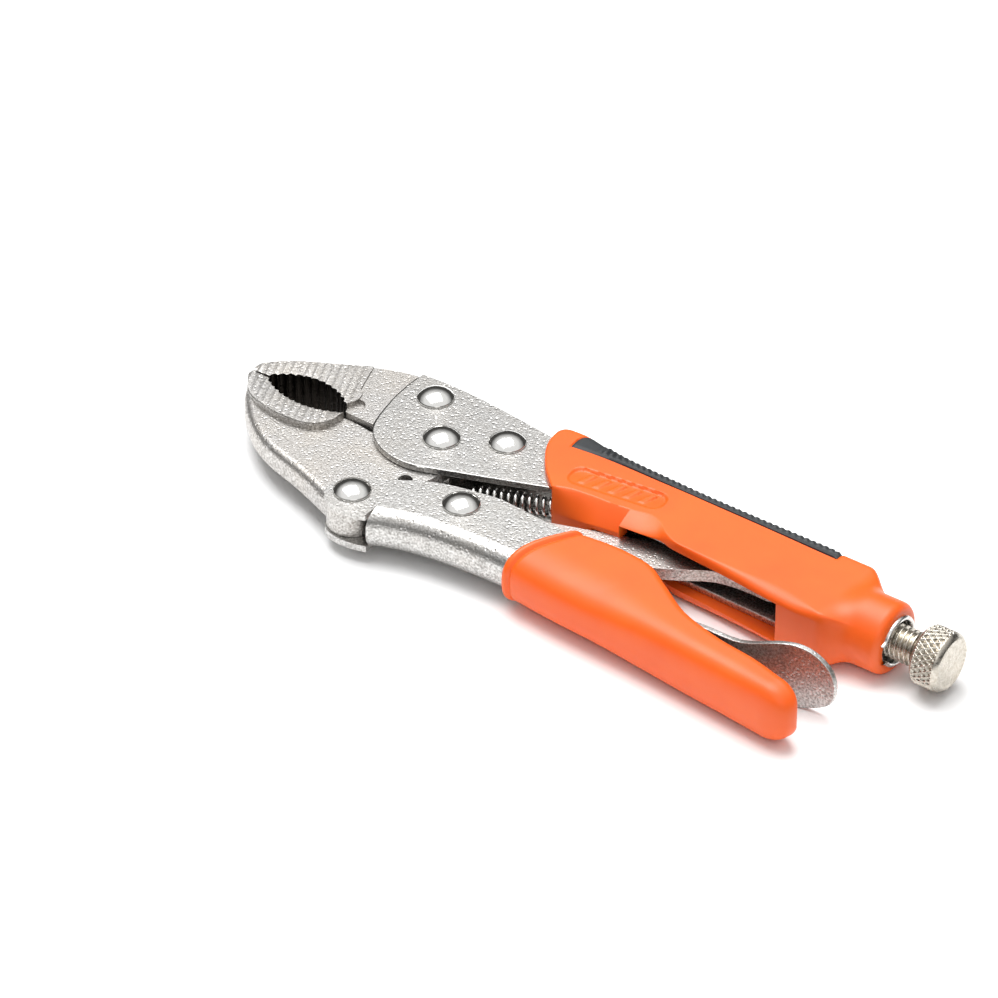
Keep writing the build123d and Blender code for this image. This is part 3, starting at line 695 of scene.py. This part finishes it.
def tube_rim(material):
    """Bright end of the rolled tube: a ring of the sheet's thickness, open along its seam.

    Both ends of the ring are turned out."""
    angle = np.linspace(radians(200), radians(520), 120)
    from_seam = np.minimum(angle - angle[0], angle[-1] - angle)
    swell = 0.9 * eased(radians(14), 0.0, from_seam) ** 2
    ring = []
    section = [(115.0, 4.9), (116.9, 4.85), (117.25, 5.0), (117.4, 5.35), (117.25, 5.7), (116.9, 5.85),
               (115.0, 5.85), (115.0, 4.9)]
    for x, r in section:
        out = r + swell
        ring.append(np.stack([x + 0 * angle, SCREW_Y + out * np.cos(angle), out * np.sin(angle)], axis=-1))
    grid = np.stack(ring, axis=1)
    patches = [sheet(grid), fan(grid[0, :-1]), fan(grid[-1, :-1])]
    return piece_of("tube_rim", patches, "fixed_handle", material, (), 50.0)


# ---- finishes ----

def linear(colour):
    """sRGB hex to linear RGBA."""
    value = np.array([int(colour[i:i + 2], 16) for i in (1, 3, 5)]) / 255
    value = np.where(value <= 0.04045, value / 12.92, ((value + 0.055) / 1.055) ** 2.4)
    return (*value.tolist(), 1.0)


def add(tree, kind, inputs=None, **settings):
    """Adds a node, sets its settings, and gives each input a value or a link from another node's output."""
    node = tree.nodes.new(kind)
    for key, value in settings.items():
        setattr(node, key, value)
    for key, value in (inputs or {}).items():
        if isinstance(value, bpy.types.NodeSocket):
            tree.links.new(value, node.inputs[key])
        else:
            node.inputs[key].default_value = value
    return node


def new_material(name):
    """Empty material with its output, ready for nodes."""
    material = bpy.data.materials.new(name)
    material.use_nodes = True
    material.node_tree.nodes.clear()
    return material, material.node_tree


def per_mm(size):
    """Pattern scale, in repeats per metre, for a feature of this size in millimetres."""
    return 1000.0 / size


def spread(tree, value, low, high, to_low, to_high):
    """Carries a value's range from low to high over to another range."""
    limits = {"Value": value, "From Min": low, "From Max": high, "To Min": to_low, "To Max": to_high}
    return add(tree, "ShaderNodeMapRange", limits).outputs["Result"]


def mixed(tree, share, first, second):
    """Blends two colours by a share from 0 to 1."""
    return add(tree, "ShaderNodeMix", {0: share, 6: first, 7: second}, data_type="RGBA").outputs[2]


def plated_steel(name, light, dark, rough, grit, relief, blotch):
    """Nickel plate on a blasted or pressed surface: bright grain, small dull pits, slow tone, and painted
    shade on the marked walls of the jaw's mouth.
    """
    material, tree = new_material(name)
    where = add(tree, "ShaderNodeTexCoord").outputs["Object"]
    grain = add(tree, "ShaderNodeTexNoise",
                {"Vector": where, "Scale": per_mm(grit), "Detail": 3.0, "Roughness": 0.62})
    slow = add(tree, "ShaderNodeTexNoise", {"Vector": where, "Scale": per_mm(9.0), "Detail": 2.0})
    pits = add(tree, "ShaderNodeTexVoronoi",
               {"Vector": where, "Scale": per_mm(grit * 2.2), "Randomness": 1.0})
    spots = spread(tree, pits.outputs["Distance"], 0.05, 0.34, 1.0, 0.0)
    tone = spread(tree, grain.outputs["Fac"], 0.36, 0.62, 0.0, 1.0)
    plate = mixed(tree, tone, linear(dark), linear(light))
    warm = spread(tree, slow.outputs["Fac"], 0.35, 0.7, 0.0, blotch)
    plate = mixed(tree, warm, plate, linear("#C9BEAE"))
    # Painted shade: the marked walls of the jaw's mouth are mixed towards near black.
    mouth_shade = add(tree, "ShaderNodeAttribute", attribute_name="painted_mouth_shade")
    plate = mixed(tree, mouth_shade.outputs["Fac"], plate, linear("#2E2A26"))
    dull = spread(tree, grain.outputs["Fac"], 0.3, 0.7, rough + 0.14, rough - 0.08)
    height = add(tree, "ShaderNodeMath", {0: grain.outputs["Fac"], 1: spots}, operation="SUBTRACT")
    bump = add(tree, "ShaderNodeBump",
               {"Height": height.outputs[0], "Distance": relief / 1000, "Strength": 1.0})
    shader = add(tree, "ShaderNodeBsdfPrincipled",
                 {"Base Color": plate, "Metallic": 1.0, "Roughness": dull, "Normal": bump.outputs["Normal"]})
    add(tree, "ShaderNodeOutputMaterial", {"Surface": shader.outputs[0]})
    return material


def polished_plate():
    """Bright chrome plate on the rivet heads, barrel polished: a mirror with a faint ripple."""
    material, tree = new_material("chrome plate, barrel polished")
    where = add(tree, "ShaderNodeTexCoord").outputs["Object"]
    ripple = add(tree, "ShaderNodeTexNoise", {"Vector": where, "Scale": per_mm(1.6), "Detail": 2.0})
    bump = add(tree, "ShaderNodeBump",
               {"Height": ripple.outputs["Fac"], "Distance": 0.00006, "Strength": 0.6})
    dull = spread(tree, ripple.outputs["Fac"], 0.0, 1.0, 0.07, 0.17)
    shader = add(tree, "ShaderNodeBsdfPrincipled",
                 {"Base Color": linear("#E4E3E0"), "Metallic": 1.0, "Roughness": dull,
                  "Normal": bump.outputs["Normal"]})
    add(tree, "ShaderNodeOutputMaterial", {"Surface": shader.outputs[0]})
    return material


def moulded_rubber(name, base, shade, rough, grain, relief):
    """Thermoplastic rubber moulded in a spark-eroded tool: an even satin skin with a very fine grain."""
    material, tree = new_material(name)
    where = add(tree, "ShaderNodeTexCoord").outputs["Object"]
    fine = add(tree, "ShaderNodeTexNoise", {"Vector": where, "Scale": per_mm(grain), "Detail": 2.0})
    slow = add(tree, "ShaderNodeTexNoise", {"Vector": where, "Scale": per_mm(14.0), "Detail": 3.0})
    tone = spread(tree, slow.outputs["Fac"], 0.3, 0.75, 0.0, 1.0)
    colour = mixed(tree, tone, linear(base), linear(shade))
    dull = spread(tree, slow.outputs["Fac"], 0.0, 1.0, rough - 0.05, rough + 0.06)
    bump = add(tree, "ShaderNodeBump",
               {"Height": fine.outputs["Fac"], "Distance": relief / 1000, "Strength": 0.7})
    shader = add(tree, "ShaderNodeBsdfPrincipled",
                 {"Base Color": colour, "Roughness": dull, "IOR": 1.5, "Subsurface Weight": 0.06,
                  "Subsurface Scale": 0.002, "Normal": bump.outputs["Normal"]})
    shader.inputs["Subsurface Radius"].default_value = (1.0, 0.35, 0.15)
    add(tree, "ShaderNodeOutputMaterial", {"Surface": shader.outputs[0]})
    return material


forged = plated_steel("nickel plate, blasted forging", "#D6D4D2", "#94918D", 0.38, 0.48, 0.075, 0.22)
pressed = plated_steel("nickel plate, pressed sheet", "#D8D7D5", "#9A9895", 0.34, 0.52, 0.070, 0.12)
ground = plated_steel("nickel plate, milled jaw face", "#D6D4CF", "#BDBAB4", 0.34, 0.6, 0.015, 0.10)
turned = plated_steel("nickel plate, turned screw", "#CBC6BC", "#B5AEA2", 0.27, 0.7, 0.006, 0.25)
wire = plated_steel("zinc plate, drawn spring wire", "#E2E1DE", "#C8C7C3", 0.22, 0.9, 0.004, 0.0)
chrome = polished_plate()
orange = moulded_rubber("orange thermoplastic rubber, moulded", "#F4651A", "#EE5C13", 0.42, 0.28, 0.010)
grey = moulded_rubber("dark grey thermoplastic rubber, moulded", "#2C2F32", "#212427", 0.55, 0.35, 0.03)

fixed_sleeve(orange)
soft_strip(grey)
grip_sleeve(orange)
screw(turned)
knob(turned)
wire_spring(wire)
rivet("rivet_front", "jaw_rivet_front", (-10.3, 11.5), "fixed_handle", chrome)
rivet("rivet_rear", "jaw_rivet_rear", (12.6, 7.2), "fixed_handle", chrome)
rivet("rivet_pivot", "jaw_pivot_rivet", (0.0, 0.0), "fixed_handle", chrome)
rivet("rivet_handle", "handle_pivot_rivet", (-3.9, -27.0), "moving_handle", chrome)
rivet("rivet_link", "link_pivot_rivet", (18.1, -17.0), "moving_handle", chrome)
rounded_copy("fixed_handle", "fixed_channel", "fixed_handle", pressed, 0.28)
rounded_copy("moving_handle", "moving_channel", "moving_handle", pressed, 0.28)
rounded_copy("fixed_jaw", "upper_jaw_forging", "fixed_handle", forged, 0.25, mouth=True)
rounded_copy("lower_jaw", "lower_jaw_forging", "lower_jaw", forged, 0.25, mouth=True)
lip_hollow(forged)
tube_rim(wire)
rounded_copy("toggle_link", "strut", "toggle_link", forged, 0.5)
rounded_copy("release_lever", "lever_blade", "release_lever", pressed, 0.22)
for node in ("thread_bush", "spring_pin", "lever_pin"):
    frame["nodes"][node].data.materials.clear()
    frame["nodes"][node].data.materials.append(turned)


# ---- studio ----

def plain_floor():
    """Plain white table under the tool, large enough to fill the view."""
    mesh = bpy.data.meshes.new("table")
    size = 6.0
    corners = [(-size, -size, 0), (size, -size, 0), (size, size, 0), (-size, size, 0)]
    mesh.from_pydata(corners, [], [(0, 1, 2, 3)])
    floor = bpy.data.objects.new("table", mesh)
    bpy.context.scene.collection.objects.link(floor)
    material, tree = new_material("white painted board, matt")
    shader = add(tree, "ShaderNodeBsdfPrincipled",
                 {"Base Color": linear("#FBFBFB"), "Roughness": 0.9, "Specular IOR Level": 0.1})
    add(tree, "ShaderNodeOutputMaterial", {"Surface": shader.outputs[0]})
    mesh.materials.append(material)


def soft_room():
    """Room light: white above, darker near the horizon, so that bright metal shows a dark band."""
    world = bpy.data.worlds.new("studio")
    bpy.context.scene.world = world
    world.use_nodes = True
    tree = world.node_tree
    tree.nodes.clear()
    where = add(tree, "ShaderNodeTexCoord").outputs["Generated"]
    height = add(tree, "ShaderNodeSeparateXYZ", {0: where}).outputs["Z"]
    ramp = add(tree, "ShaderNodeValToRGB", {"Fac": height})
    ramp.color_ramp.elements[0].position = 0.42
    ramp.color_ramp.elements[0].color = (0.07, 0.068, 0.065, 1)
    ramp.color_ramp.elements[1].position = 0.74
    ramp.color_ramp.elements[1].color = (1, 1, 1, 1)
    light = add(tree, "ShaderNodeBackground", {"Color": ramp.outputs["Color"], "Strength": 0.95})
    add(tree, "ShaderNodeOutputWorld", {"Surface": light.outputs[0]})


def softbox(name, at, aim, size, power):
    """Square soft light turned to the tool."""
    lamp = bpy.data.lights.new(name, "AREA")
    lamp.size = size
    lamp.energy = power
    box = bpy.data.objects.new(name, lamp)
    box.location = at
    box.rotation_euler = (Vector(aim) - Vector(at)).to_track_quat("-Z", "Y").to_euler()
    bpy.context.scene.collection.objects.link(box)


def camera():
    """Camera 1.2 m away, above and to the right, with a long lens."""
    lens = bpy.data.cameras.new("view")
    lens.lens = 199.1
    lens.sensor_width = 36.0
    lens.clip_start = 0.05
    lens.clip_end = 50.0
    seen = bpy.data.objects.new("view", lens)
    target = Vector(PIVOT + np.array([19.4, -5.1, 0.0]) / 1000)
    around, above = radians(36.5), radians(36.3)
    back = Vector((np.sin(around) * np.cos(above), -np.cos(around) * np.cos(above), np.sin(above)))
    seen.location = target + back * 1.2
    seen.rotation_euler = (-back).to_track_quat("-Z", "Y").to_euler()
    bpy.context.scene.collection.objects.link(seen)
    bpy.context.scene.camera = seen


plain_floor()
soft_room()
softbox("overhead", (-0.25, 0.15, 1.1), (0, 0, 0), 0.9, 16.0)
softbox("front", (0.9, -0.9, 0.8), (0, 0, 0), 0.8, 2.2)
camera()
bpy.context.scene.view_settings.view_transform = "Standard"
